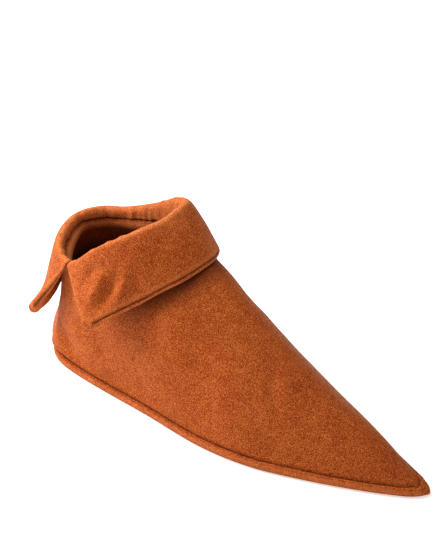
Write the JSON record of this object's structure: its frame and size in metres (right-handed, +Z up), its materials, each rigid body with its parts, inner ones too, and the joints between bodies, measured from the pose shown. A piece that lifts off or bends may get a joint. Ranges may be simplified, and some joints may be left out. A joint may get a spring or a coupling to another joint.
{
  "type": "pointed ankle slipper",
  "caption": "Soft ankle shoe of napped cloth with a long pointed toe, a flat turned-out lip on a thin sole, and a wide turned-down cuff split at the side into pointed corners.",
  "frame": {"origin": "on the floor plane under the sole, halfway between heel and toe tip", "axes": "+X towards the toe, +Y towards the shoe's left side, +Z up"},
  "size_m": [0.3396, 0.1285, 0.1456],
  "materials": {
    "sole": "napped",
    "insole": "napped",
    "upper": "napped",
    "cuff": "napped"
  },
  "bodies": {
    "root": {"sole": "sole", "insole": "insole", "upper": "upper", "cuff": "cuff"}
  },
  "joints": []
}
